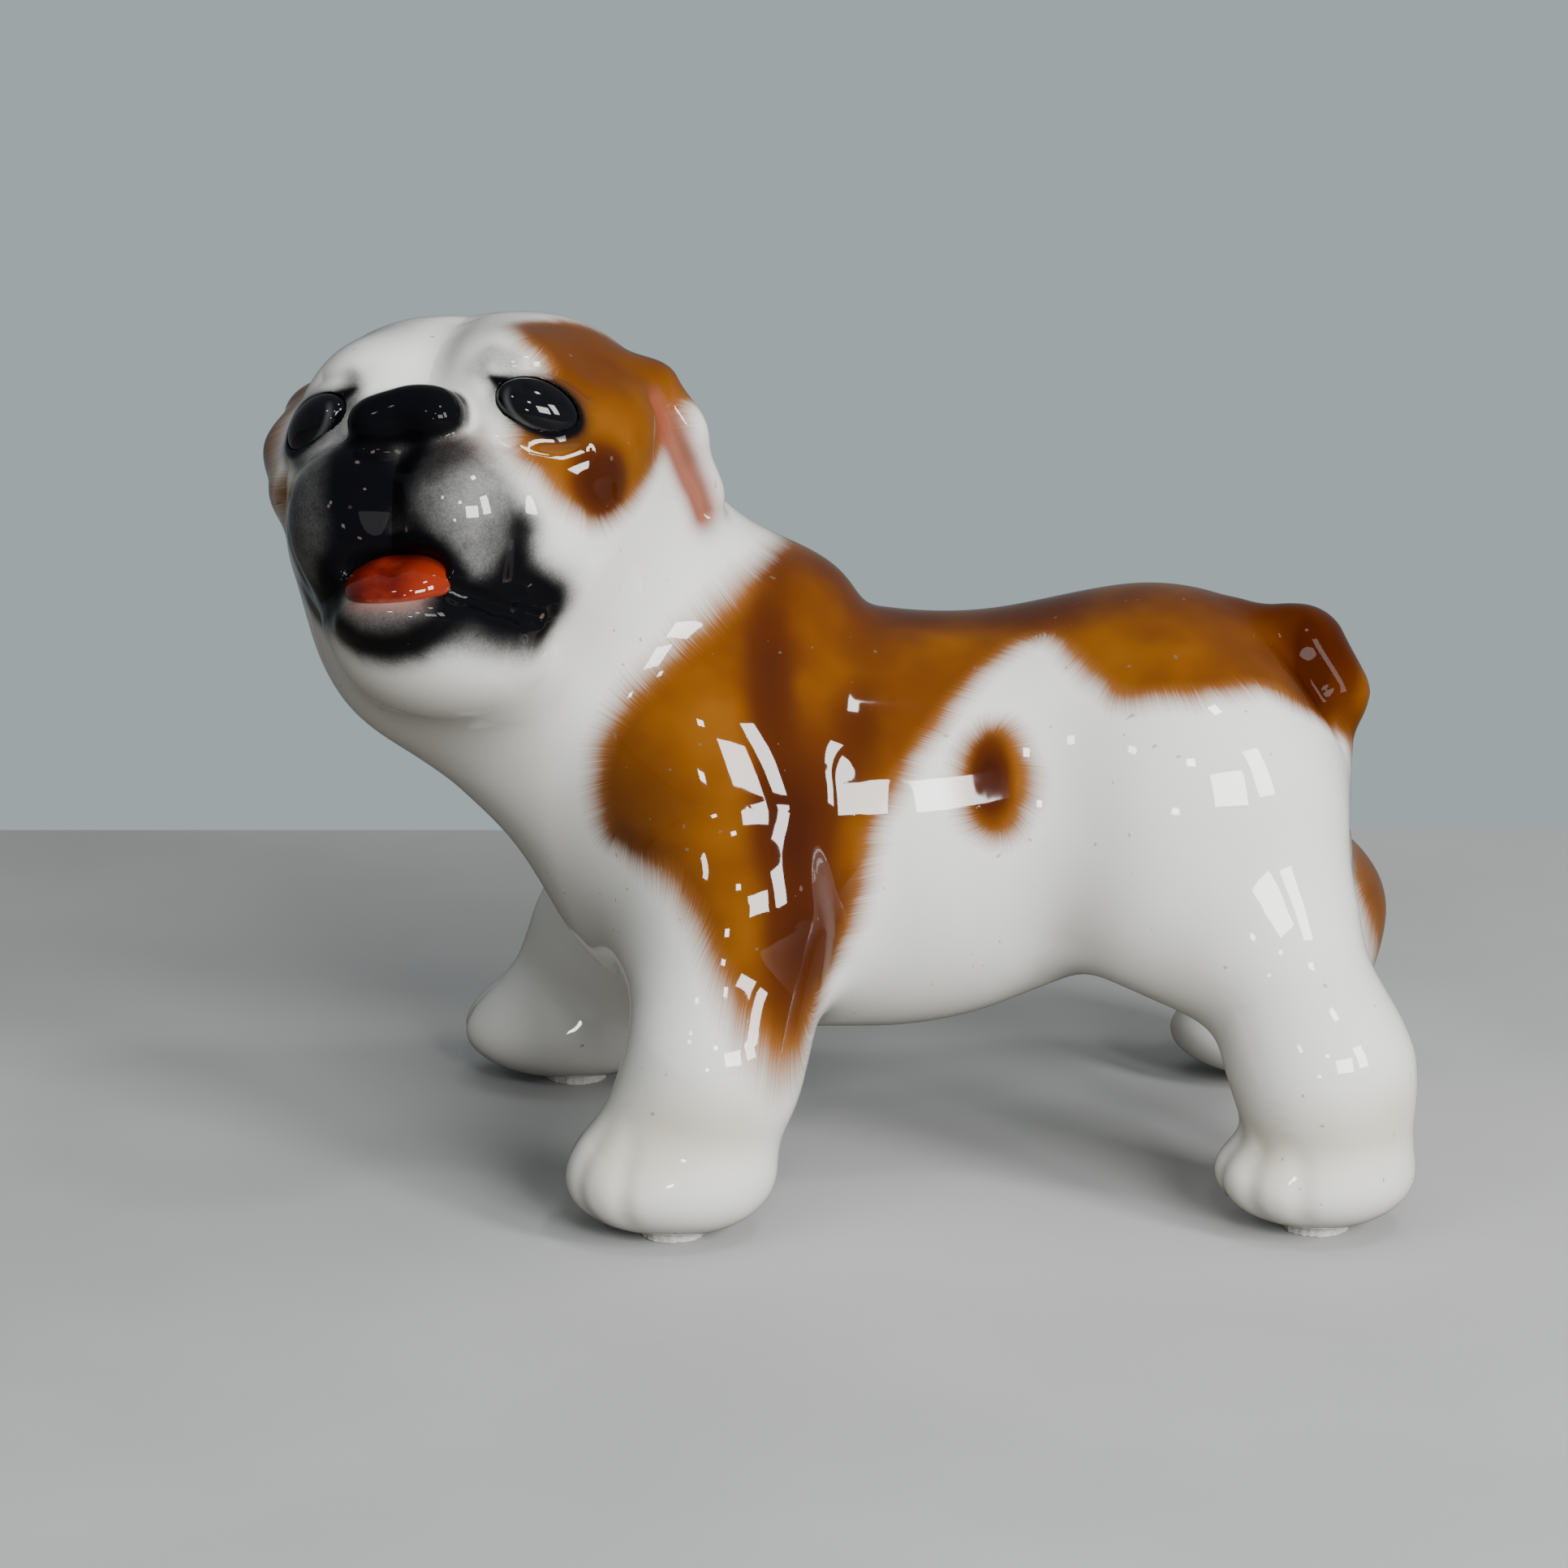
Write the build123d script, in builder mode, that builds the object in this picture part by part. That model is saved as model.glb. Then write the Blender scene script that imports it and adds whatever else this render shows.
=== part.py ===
"""Ceramic bulldog puppy figurine: hollow glazed castings standing on four felt pads.

The dog faces -X and +Z is up.  Its left side is -Y.  The origin is on the ground,
under the centre of the figurine's bounding box.
"""

import os

from build123d import *

# ---- driving dimensions, in millimetres ----
WALL = 5.0                          # thickness of the cast ceramic
HEAD_WALL = 6.0
PAD_DIAMETER = 19.0
PAD_THICKNESS = 3.0
VENT_DIAMETER = 9.0                 # lets air and slip out of the hollow during casting
VENT_X = 52.0
VENT_START = 20.0
VENT_REACH = 60.0
RUMP_ROUNDING = 14.0

# Centres of the four feet.  The dog stands with its right front foot forward.
FRONT_LEFT_FOOT = (-32.0, -75.0)
FRONT_RIGHT_FOOT = (-66.0, 72.0)
REAR_LEFT_FOOT = (153.0, -70.0)
REAR_RIGHT_FOOT = (158.0, 72.0)

# Pose of the head: it turns towards the dog's left side, looks up and leans a little.
HEAD_CENTRE = (-88.0, -32.0, 211.0)
HEAD_TURN = -108.0                  # direction of the nose, from +X about +Z
HEAD_RAISE = 24.0
HEAD_LEAN = 6.0

# The head and the body are cast apart and joined with slip on this sloping plane.
JOIN_POINT = (-66.0, 0.0, 178.0)
JOIN_SLOPE = 17.0                   # degrees, the rear edge is higher

head_place = (
    Location(HEAD_CENTRE)
    * Rotation(0, 0, HEAD_TURN)
    * Rotation(0, -HEAD_RAISE, 0)
    * Rotation(HEAD_LEAN, 0, 0)
)
join_plane = Plane(Location(JOIN_POINT) * Rotation(0, -JOIN_SLOPE, 0))


def ellipsoid(centre, radii, tilt=(0, 0, 0)):
    """A solid ellipsoid with its half axes along X, Y and Z, tilted and then placed."""
    with BuildPart() as blob:
        Sphere(1)
        scale(by=radii)
    return blob.part.moved(Location(centre, tilt))


def inset_ellipsoid(shape, inset):
    """The same ellipsoid with every half axis shorter by inset."""
    centre, radii = shape
    return ellipsoid(centre, tuple(radius - inset for radius in radii))


def barrel(inset=0.0):
    """The trunk, a loft through upright ovals from behind the chest back to the rump."""
    sections = (
        # x, underside, back, half width
        (-48, 66, 168, 46),
        (-30, 52, 180, 55),
        (-5, 43, 184, 59),
        (22, 40, 173, 58),
        (48, 46, 168, 54),
        (74, 58, 171, 52),
        (100, 62, 175, 53),
        (124, 66, 173, 52),
        (145, 74, 164, 45),
        (159, 87, 150, 33),
    )
    with BuildPart() as trunk:
        for x, underside, back, half_width in sections:
            middle = (x, 0, (underside + back) / 2)
            half_height = (back - underside) / 2
            with BuildSketch(Plane(origin=middle, x_dir=(0, 1, 0), z_dir=(1, 0, 0))):
                Ellipse(half_width - inset, half_height - inset)
        loft()
        if inset == 0:
            rear_rim = trunk.faces().sort_by(Axis.X)[-1].edges()
            fillet(rear_rim, RUMP_ROUNDING)
    return trunk.part


HOLLOW_SECTIONS = 5                 # the legs are hollow down to this section, then solid


def limb(foot, sections, inset):
    """A leg and paw, a loft through level ovals placed relative to the foot's centre.

    Each section is height, offset back, offset inwards, half length and half width.
    """
    if inset:
        sections = sections[:HOLLOW_SECTIONS]
    foot_x, foot_y = foot
    inwards = -1 if foot_y > 0 else 1
    with BuildPart() as leg:
        for height, back, inward, half_length, half_width in sections:
            with BuildSketch(Plane.XY.offset(height)):
                with Locations((foot_x + back, foot_y + inwards * inward)):
                    Ellipse(half_length - inset, half_width - inset)
        loft(ruled=True)
    return leg.part


def front_limb(foot, inset=0.0, lean_back=0.0):
    """A front leg.  A foot that stands further forward reaches back to its shoulder."""
    sections = (
        (104, 17 + lean_back, 36, 25, 22),
        (84, 16 + lean_back * 0.8, 26, 28, 25),
        (68, 14 + lean_back * 0.5, 15, 27, 24),
        (54, 12 + lean_back * 0.2, 7, 26, 22.5),
        (42, 9, 3, 26, 22),
        (32, 5, 1, 28, 23),
        (22, 1, 0, 30.5, 25),
        (13, 0, 0, 31, 25),
        (7, 0, 0, 27, 21),
        (PAD_THICKNESS, 0, 0, 20, 15),
    )
    return limb(foot, sections, inset)


def rear_limb(foot, inset=0.0):
    """A rear leg from inside the thigh down past the hock."""
    sections = (
        (96, -22, 29, 29, 21),
        (80, -14, 20, 32, 24),
        (66, -5, 11, 30, 25),
        (54, 1, 5, 26.5, 23),
        (42, 1, 2, 25, 22),
        (32, 0, 1, 26, 23),
        (22, -1, 0, 29.5, 26),
        (13, -1, 0, 30, 26),
        (7, -1, 0, 27, 22),
        (PAD_THICKNESS, -1, 0, 20, 16),
    )
    return limb(foot, sections, inset)


NECK = ((-60, -8, 158), (59, 51, 56))


def masses(inset=0.0):
    """The rounded masses that the trunk and the legs run into."""
    shapes = (
        NECK,
        ((-24, 0, 112), (52, 57, 58)),      # chest
        ((-12, -38, 112), (36, 29, 46)),    # left shoulder
        ((-22, 38, 112), (38, 29, 46)),     # right shoulder
        ((121, -37, 104), (43, 29, 48)),    # left thigh
        ((125, 37, 104), (44, 29, 48)),     # right thigh
    )
    return [inset_ellipsoid(shape, inset) for shape in shapes]


# ---- trunk, legs and neck: one hollow casting ----
RIGHT_LEG_REACH = 0.6 * (FRONT_LEFT_FOOT[0] - FRONT_RIGHT_FOOT[0])


def body_forms(inset=0.0):
    """Everything that makes up the trunk, inset by the wall for the hollow inside it."""
    limbs = [
        front_limb(FRONT_LEFT_FOOT, inset),
        front_limb(FRONT_RIGHT_FOOT, inset, RIGHT_LEG_REACH),
        rear_limb(REAR_LEFT_FOOT, inset),
        rear_limb(REAR_RIGHT_FOOT, inset),
    ]
    return [barrel(inset)] + masses(inset) + limbs


outer_forms = body_forms()
inner_forms = body_forms(WALL)
outer_trunk = outer_forms[0]
outer_neck = inset_ellipsoid(NECK, 0.0)
inner_neck = inset_ellipsoid(NECK, WALL)

with BuildPart() as body_shell:
    for form in outer_forms:
        add(form)
    split(bisect_by=join_plane, keep=Keep.BOTTOM)
    for hollow in inner_forms:
        add(hollow, mode=Mode.SUBTRACT)
    # The vent runs from below the belly up into the hollow trunk.
    with BuildSketch(Plane.XY.offset(VENT_START)):
        with Locations((VENT_X, 0)):
            Circle(VENT_DIAMETER / 2)
    extrude(amount=VENT_REACH, mode=Mode.SUBTRACT)

# ---- head, in its own frame: X out of the nose, Y to the dog's left, Z up ----
SKULL = ((-4, 0, 6), (46, 58, 41))
MUZZLE = ((32, 0, -20), (31, 37, 28))
JAW = ((34, 0, -50), (30, 28, 16))
NOSE = ((47, 0, -2), (12, 17, 11))
CHEEK = ((6, 34, -22), (38, 26, 32))
CHEEK_HOLLOW = ((2, 31, -20), (30, 20, 25))
MUZZLE_HOLLOW = ((14, 0, -22), (20, 28, 22))
BROW = ((24, 20, 12), (19, 18, 15))
LIP = ((44, 18, -26), (20, 19, 20))
EAR = ((-6, 55, 15), (17, 12, 21))
EYE = ((41, 32, 8), (5, 13, 9))
EYE_SPLAY = 36.0                    # how far each eye looks to its own side
TONGUE = ((49, 0, -41), (15, 15, 6))
TONGUE_DROOP = 14.0
MOUTH = ((58, 0, -36), (16, 15, 10))


def both_sides(shape):
    """The same ellipsoid on the dog's left and on its right."""
    (forward, side, up), radii = shape
    return [ellipsoid((forward, side, up), radii), ellipsoid((forward, -side, up), radii)]


def eye(side):
    """A lens-shaped eye bead, side is 1 for the dog's left and -1 for its right."""
    (forward, spread, up), radii = EYE
    return ellipsoid((forward, side * spread, up), radii, (0, 0, side * EYE_SPLAY))


# The face, one solid block before it is hollowed out.
with BuildPart() as head_block:
    add(ellipsoid(*SKULL))
    add(ellipsoid(*MUZZLE))
    add(ellipsoid(*JAW))
    add(ellipsoid(*NOSE))
    for shape in (CHEEK, BROW, LIP):
        add(both_sides(shape))
placed_head = head_block.part.moved(head_place)

eye_beads = {"left": eye(1).moved(head_place), "right": eye(-1).moved(head_place)}
tongue_form = ellipsoid(*TONGUE, tilt=(0, TONGUE_DROOP, 0)).moved(head_place)
mouth_opening = ellipsoid(*MOUTH).moved(head_place)

# The hollow follows the skull and the cheeks and stops behind the mouth.
head_hollows = [
    inset_ellipsoid(SKULL, HEAD_WALL),
    *both_sides(CHEEK_HOLLOW),
    ellipsoid(*MUZZLE_HOLLOW),
]

with BuildPart() as head_shell:
    add(placed_head)
    add(outer_neck)
    split(bisect_by=join_plane, keep=Keep.TOP)
    add(mouth_opening, mode=Mode.SUBTRACT)
    add(tongue_form, mode=Mode.SUBTRACT)
    add(eye_beads["left"], mode=Mode.SUBTRACT)
    add(eye_beads["right"], mode=Mode.SUBTRACT)
    add(inner_neck, mode=Mode.SUBTRACT)
    for hollow in head_hollows:
        add(hollow.moved(head_place), mode=Mode.SUBTRACT)

with BuildPart() as tongue:
    add(tongue_form)

with BuildPart() as eye_left:
    add(eye_beads["left"])

with BuildPart() as eye_right:
    add(eye_beads["right"])

# ---- ears: small folded flaps stuck on the side of the skull ----
ear_forms = [shape.moved(head_place) for shape in both_sides(EAR)]

with BuildPart() as ear_left:
    add(ear_forms[0])
    add(placed_head, mode=Mode.SUBTRACT)
    add(outer_neck, mode=Mode.SUBTRACT)

with BuildPart() as ear_right:
    add(ear_forms[1])
    add(placed_head, mode=Mode.SUBTRACT)
    add(outer_neck, mode=Mode.SUBTRACT)

# ---- tail: a short stub curled down over the rump ----
TAIL_POINTS = ((138, 0, 156), (153, 0, 154), (161, -1, 144), (163, -2, 132))
TAIL_RADII = ((0, 12), (0.5, 12), (0.85, 9.5), (1, 5))      # share of the length, radius

with BuildPart() as tail:
    with BuildLine() as tail_line:
        Spline(*TAIL_POINTS)
    for share, radius in TAIL_RADII:
        cross_plane = Plane(origin=tail_line.line @ share, z_dir=tail_line.line % share)
        with BuildSketch(cross_plane):
            Circle(radius)
    loft()
    add(outer_trunk, mode=Mode.SUBTRACT)


# ---- felt pads under the feet ----
def felt_pad(foot):
    """One round felt pad with its underside on the ground."""
    with BuildPart() as pad:
        with BuildSketch():
            with Locations(foot):
                Circle(PAD_DIAMETER / 2)
        extrude(amount=PAD_THICKNESS)
    return pad.part


with BuildPart() as foot_pad_front_left:
    add(felt_pad(FRONT_LEFT_FOOT))

with BuildPart() as foot_pad_front_right:
    add(felt_pad(FRONT_RIGHT_FOOT))

with BuildPart() as foot_pad_rear_left:
    add(felt_pad(REAR_LEFT_FOOT))

with BuildPart() as foot_pad_rear_right:
    add(felt_pad(REAR_RIGHT_FOOT))

# ---- label, centre over the footprint and write ----
pieces = {
    "body_shell": body_shell,
    "head_shell": head_shell,
    "ear_left": ear_left,
    "ear_right": ear_right,
    "eye_left": eye_left,
    "eye_right": eye_right,
    "tongue": tongue,
    "tail": tail,
    "foot_pad_front_left": foot_pad_front_left,
    "foot_pad_front_right": foot_pad_front_right,
    "foot_pad_rear_left": foot_pad_rear_left,
    "foot_pad_rear_right": foot_pad_rear_right,
}
boxes = [piece.part.bounding_box() for piece in pieces.values()]
middle_x = (min(box.min.X for box in boxes) + max(box.max.X for box in boxes)) / 2
middle_y = (min(box.min.Y for box in boxes) + max(box.max.Y for box in boxes)) / 2
to_origin = Location((-middle_x, -middle_y, 0))

os.makedirs("parts", exist_ok=True)
for name, piece in pieces.items():
    finished = piece.part.moved(to_origin)
    finished.label = name
    export_step(finished, f"parts/{name}.step")
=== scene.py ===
import math
from concurrent.futures import ThreadPoolExecutor

import bmesh
import bpy
import numpy as np
import openvdb
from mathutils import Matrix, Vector


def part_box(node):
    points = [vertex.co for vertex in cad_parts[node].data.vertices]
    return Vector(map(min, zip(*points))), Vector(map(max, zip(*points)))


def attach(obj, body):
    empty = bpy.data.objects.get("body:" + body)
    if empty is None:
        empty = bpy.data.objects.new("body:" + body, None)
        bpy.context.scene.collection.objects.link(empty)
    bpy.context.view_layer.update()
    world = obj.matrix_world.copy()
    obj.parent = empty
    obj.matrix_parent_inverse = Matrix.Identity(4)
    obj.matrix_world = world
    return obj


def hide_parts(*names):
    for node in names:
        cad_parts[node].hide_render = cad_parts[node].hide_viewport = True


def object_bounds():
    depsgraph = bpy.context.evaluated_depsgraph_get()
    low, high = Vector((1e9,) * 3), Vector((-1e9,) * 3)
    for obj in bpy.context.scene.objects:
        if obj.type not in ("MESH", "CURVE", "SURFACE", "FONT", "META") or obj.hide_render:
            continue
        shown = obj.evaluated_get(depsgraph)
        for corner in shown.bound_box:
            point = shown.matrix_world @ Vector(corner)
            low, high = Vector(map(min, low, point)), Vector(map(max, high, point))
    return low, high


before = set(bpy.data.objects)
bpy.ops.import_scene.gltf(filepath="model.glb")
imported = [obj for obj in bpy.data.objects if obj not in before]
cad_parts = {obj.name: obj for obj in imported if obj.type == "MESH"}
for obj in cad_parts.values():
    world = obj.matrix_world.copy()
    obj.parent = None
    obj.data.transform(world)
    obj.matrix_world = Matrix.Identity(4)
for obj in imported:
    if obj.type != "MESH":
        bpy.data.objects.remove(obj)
CAD_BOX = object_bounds()

# The figurine is sculpted as one smooth distance field in millimetres, in a "sculpt frame" that is
# the CAD frame slid sideways: y = 0 is the body's mid-plane, the dog faces -x with its left side
# towards -y, and z = 0 is the floor. Pieces are cut out of that field, so neighbouring pieces share
# one continuous glazed surface.
#
# Three frames appear below:
#   points  sculpt frame, millimetres
#   head    (forward, left, up) from the middle of the head; "both" has its left made positive
#   snout   the head frame moved a little sideways to the middle of the nose and mouth

MM = 0.001
BODY_VOXEL, HEAD_VOXEL, GROWN_VOXEL, SMALL_VOXEL = 1.2, 0.65, 0.525, 0.35
FAR_OUTSIDE = 1e9
TINY = 1e-9


# ---- places taken from the frame

def node_centre(node):
    low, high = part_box(node)
    return np.array((low + high) / 2) / MM


# Where the near front foot stands in the sculpt frame; it ties the sculpt to the CAD frame.
FRONT_LEFT_FOOT = np.array([-32.0, -75.0])
SHIFT = np.append(node_centre("foot_pad_front_left")[:2] - FRONT_LEFT_FOOT, 0.0)

FEET = {name: (node_centre("foot_pad_" + name) - SHIFT)[:2] for name in
        ("front_left", "front_right", "rear_left", "rear_right")}

NOSE_TURN, NOSE_RAISE, HEAD_LEAN = math.radians(18), math.radians(24), math.radians(6)
# The middle between the CAD eyes lies this far forward of and above the middle of the head.
EYE_FORWARD, EYE_UP = 41.0, 8.0


def head_axes():
    """Forward, left and up of the head as rows: turned to its left, nose raised, right side dropped."""
    level = np.array([-math.sin(NOSE_TURN), -math.cos(NOSE_TURN), 0.0])
    rise = np.array([0.0, 0.0, 1.0])
    forward = level * math.cos(NOSE_RAISE) + rise * math.sin(NOSE_RAISE)
    up = rise * math.cos(NOSE_RAISE) - level * math.sin(NOSE_RAISE)
    left = np.cross(up, forward)
    leaned_left = left * math.cos(HEAD_LEAN) + up * math.sin(HEAD_LEAN)
    leaned_up = up * math.cos(HEAD_LEAN) - left * math.sin(HEAD_LEAN)
    return np.array([forward, leaned_left, leaned_up])


HEAD_AXES = head_axes()
EYES_MIDDLE = (node_centre("eye_left") + node_centre("eye_right")) / 2 - SHIFT
HEAD_ORIGIN = EYES_MIDDLE - EYE_FORWARD * HEAD_AXES[0] - EYE_UP * HEAD_AXES[2]

# The plane where the head casting is stuck on the neck.
JOIN_POINT = np.array([-66.0, 0.0, 178.0])
JOIN_SLOPE = math.radians(17)
JOIN_NORMAL = np.array([-math.sin(JOIN_SLOPE), 0.0, math.cos(JOIN_SLOPE)])


def to_head(points):
    return ((points - HEAD_ORIGIN) @ HEAD_AXES.T).astype(np.float32)


# ---- distance fields

def smooth_min(a, b, width):
    """The lower of two fields, rounded over where they are closer than width."""
    gap = np.maximum(width - np.abs(a - b), 0) / width
    return np.minimum(a, b) - gap * gap * width * 0.25


def smooth_max(a, b, width):
    return -smooth_min(-a, -b, width)


def axes_of(turn=0, tilt=0, lean=0):
    """Columns are the axes of something turned about z, tilted about y and leaned about x, in degrees."""
    z, y, x = np.radians([turn, tilt, lean])
    about_z = np.array([[np.cos(z), -np.sin(z), 0], [np.sin(z), np.cos(z), 0], [0, 0, 1]])
    about_y = np.array([[np.cos(y), 0, np.sin(y)], [0, 1, 0], [-np.sin(y), 0, np.cos(y)]])
    about_x = np.array([[1, 0, 0], [0, np.cos(x), -np.sin(x)], [0, np.sin(x), np.cos(x)]])
    return about_z @ about_y @ about_x


def ellipsoid(points, centre, radii, axes=None):
    local = points - np.asarray(centre, np.float32)
    if axes is not None:
        local = local @ np.asarray(axes, np.float32)
    scaled = local / np.asarray(radii, np.float32)
    size = np.sqrt((scaled * scaled).sum(-1))
    slope = np.sqrt(((scaled / np.asarray(radii, np.float32)) ** 2).sum(-1)) + TINY
    return size * (size - 1) / slope


def segment(points, start, end):
    """Distance from a straight line, and how far along it the nearest place is, from 0 to 1."""
    start = np.asarray(start, np.float32)
    line = np.asarray(end, np.float32) - start
    away = points - start
    along = np.clip((away @ line) / float(line @ line), 0, 1)
    away = away - along[:, None] * line
    return np.sqrt((away * away).sum(-1)), along


def tube(points, path, width=6.0):
    """A soft tube through (place, radius) pairs."""
    field = None
    for (start, first), (end, last) in zip(path, path[1:]):
        distance, along = segment(points, start, end)
        link = distance - (first + (last - first) * along)
        field = link if field is None else smooth_min(field, link, width)
    return field


def line_distance(points, path):
    """Distance from a line through several places."""
    return np.min([segment(points, a, b)[0] for a, b in zip(path, path[1:])], axis=0)


def hump(distance, width):
    """A soft bump: 1 on the line, fading out over about this width."""
    return np.exp(-(distance / width) ** 2)


def soft_step(field, softness):
    """1 well inside a field, 0 well outside, with an edge of this softness."""
    return 1 / (1 + np.exp(np.clip(field / softness, -30, 30)))


def mirrored(points):
    both = points.copy()
    both[:, 1] = np.abs(both[:, 1])
    return both


# ---- the sculpt

# The dog's left side is -y in the sculpt frame, and positive in head places.
SIDE = {"left": -1, "right": 1}
HEAD_SIDE = {"left": 1, "right": -1}
TOE_SPREAD, TOE_DEPTH, TOE_WIDTH = 33, 1.15, 3.6
TOE_GROOVE = ((0.9, -13), (1.03, -3), (0.95, 8), (0.68, 17), (0.5, 26))


def paw(points, foot, side, turn, radii, height):
    """A rounded paw over a foot place; shallow grooves between its toes fan out round the front."""
    x, y = foot[0] - 1, foot[1]
    field = ellipsoid(points, (x, y, height), radii)
    for angle in (turn - TOE_SPREAD, turn, turn + TOE_SPREAD):
        a = math.radians(angle)
        out = np.array([-math.cos(a) * radii[0], side * math.sin(a) * radii[1]])
        path = [(x + out[0] * r, y + out[1] * r, height + z) for r, z in TOE_GROOVE]
        field = field + TOE_DEPTH * hump(line_distance(points, path), TOE_WIDTH)
    return field


def front_leg(points, name, shoulder_x, reach=0):
    """Shoulder, upper leg, instep and paw; reach moves the toes forward of the pad."""
    side = SIDE[name.split("_")[1]]
    x, y = FEET[name]
    leg = tube(points, [((shoulder_x, side * 38, 110), 30), ((shoulder_x, side * 52, 80), 27),
                        ((x + 13, y * 0.97, 50), 20.5), ((x + 8, y, 26), 19.5)], 18)
    shoulder = ellipsoid(points, (shoulder_x - 6, side * 45, 129), (24, 21, 28), axes_of(tilt=-18))
    leg = smooth_min(leg, shoulder, 12)
    upper = ellipsoid(points, (shoulder_x + 2, side * 60, 92), (24, 20, 24))
    leg = smooth_min(leg, upper, 10)
    instep = tube(points, [((x + 8, y, 50), 17), ((x - 12, y, 22), 14)])
    leg = smooth_min(leg, instep, 10)
    foot = paw(points, (x - reach, y), side, 30, (28.5 + reach, 24, 14.5), 17)
    return smooth_min(leg, foot, 12)


def rear_leg(points, name, thigh_x, hock, reach=0):
    """Thigh, shank down over the hock, and paw."""
    side = SIDE[name.split("_")[1]]
    x, y = FEET[name]
    thigh = ellipsoid(points, (thigh_x + 3, side * 36, 104), (40, 30, 47))
    shank = tube(points, [((thigh_x + 23, side * 45, 77), 25.5), (hock, 22.5), ((x + 4, y, 28), 22)], 16)
    leg = smooth_min(thigh, shank, 18)
    foot = paw(points, (x - reach, y), side, 44, (28.5 + reach, 25, 15), 17)
    return smooth_min(leg, foot, 8)


def torso(points):
    """Belly, rump, ribs, neck, chest and withers."""
    field = ellipsoid(points, (25, 0, 104), (86, 57, 62.5))
    field = smooth_min(field, ellipsoid(points, (108, 0, 121), (60, 52, 53)), 28)
    field = smooth_min(field, ellipsoid(points, (-22, 0, 110), (52, 56, 60)), 26)
    field = smooth_min(field, ellipsoid(points, (-58, -8, 160), (59, 50, 56)), 28)
    field = smooth_min(field, ellipsoid(points, (-108, -28, 165), (24, 26, 26)), 26)
    return smooth_min(field, ellipsoid(points, (-9, -3, 171.3), (27, 26, 15)), 14)


# Shallow hollows on both sides: (path, depth, width).
FLANK_HOLLOW = [(78, 56, 140), (84, 58, 110), (80, 50, 80)]
ARMPIT_HOLLOW = [(12, 56, 128), (14, 62, 100), (14, 62, 76)]
TAIL_CREASE = [(147, 15, 159), (150, 19.5, 153), (155, 23, 144), (160, 22, 136)]
HOLLOWS = [(FLANK_HOLLOW, 1.6, 15), (ARMPIT_HOLLOW, 1.8, 9), (TAIL_CREASE, 1.6, 5)]
VENT_X, VENT_RADIUS, VENT_TOP = 52, 4.5, 62


def vent(points):
    """The firing hole under the belly, as the bore that is taken away."""
    across = np.hypot(points[:, 0] - VENT_X, points[:, 1]) - VENT_RADIUS
    return np.maximum(across, points[:, 2] - VENT_TOP)


def body(points):
    field = torso(points)
    field = smooth_min(field, front_leg(points, "front_left", -15), 20)
    field = smooth_min(field, front_leg(points, "front_right", -30, 3), 20)
    field = smooth_min(field, rear_leg(points, "rear_left", 118, (154, -70, 47)), 22)
    field = smooth_min(field, rear_leg(points, "rear_right", 126, (163, 70, 56), 3), 22)
    for path, depth, width in HOLLOWS:
        for side in SIDE.values():
            line = [(x, side * y, z) for x, y, z in path]
            field = field + depth * hump(line_distance(points, line), width)
    return smooth_max(field, -vent(points), 2)


# Head places; one with left > 0 stands for both sides.
EYE = (38.6, 32.2, 8.8)
EYE_DROP = {"left": 0.0, "right": 1.4}
EYE_RADII = (6.8, 12.2, 8.1)
EYE_SPLAY, EYE_TILT = 33, 21
FACE_FRONT = 20
NOSE_LEAN = 12
MOUTH_LINE = [(60, 14, -44), (55, 21, -46.5), (46, 28, -48), (37, 32, -48.5), (29, 34.5, -48)]
MOUTH_RADII = (2.2, 2.2, 2.2, 1.9, 1.0)
SNOUT_SHIFT = np.array([0, -2.6, 0], np.float32)


def eye_axes():
    """Columns: out of the eye, towards its outer corner, and up across it."""
    splay, tilt = math.radians(EYE_SPLAY), math.radians(EYE_TILT)
    out = np.array([math.cos(splay), math.sin(splay), 0.0])
    back = np.array([-math.sin(splay), math.cos(splay), 0.0])
    up = np.array([0.0, 0.0, 1.0])
    return np.array([out, back * math.cos(tilt) - up * math.sin(tilt),
                     back * math.sin(tilt) + up * math.cos(tilt)]).T


EYE_AXES = eye_axes()


def eye_side(head):
    """Head places folded onto the left eye; the right eye sits a little lower."""
    both = mirrored(head)
    both[:, 2] += EYE_DROP["right"] * (head[:, 1] < 0)
    return both


def eye_local(both):
    return (both - np.asarray(EYE, np.float32)) @ EYE_AXES.astype(np.float32)


def eyeball(both):
    return ellipsoid(both, EYE, EYE_RADII, EYE_AXES)


def eye_outline(both):
    """Distance outside the painted almond of an eye, drawn out to a point at its inner corner."""
    local = eye_local(both)
    across, up = local[:, 1] - 0.4, local[:, 2]
    oval_part = (np.hypot((across - 0.8) / 11.9, up / 8.2) - 1) * 8.2
    flat = np.stack([across, up, np.zeros_like(up)], -1)
    point = tube(flat, [((-3, 0, 0), 6.6), ((-15.4, 3.2, 0), 0.6)])
    return smooth_min(oval_part, point, 2)


def skull(head, both):
    """Cranium, temples, cheeks, snout root, brows and the cheek under each eye."""
    field = ellipsoid(head, (-4, 0, 6), (46, 53, 41))
    field = smooth_min(field, ellipsoid(both, (-8, 19, 15), (36, 30, 31)), 14)
    field = smooth_min(field, ellipsoid(both, (6, 27, -20), (34, 21, 30)), 22)
    field = smooth_min(field, ellipsoid(head, (28, 0, -20), (26, 35, 26)), 16)
    field = smooth_min(field, ellipsoid(both, (26, 20, 20), (17, 16, 13)), 12)
    return smooth_min(field, ellipsoid(both, (27, 27, 5), (14, 16, 14)), 12)


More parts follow.
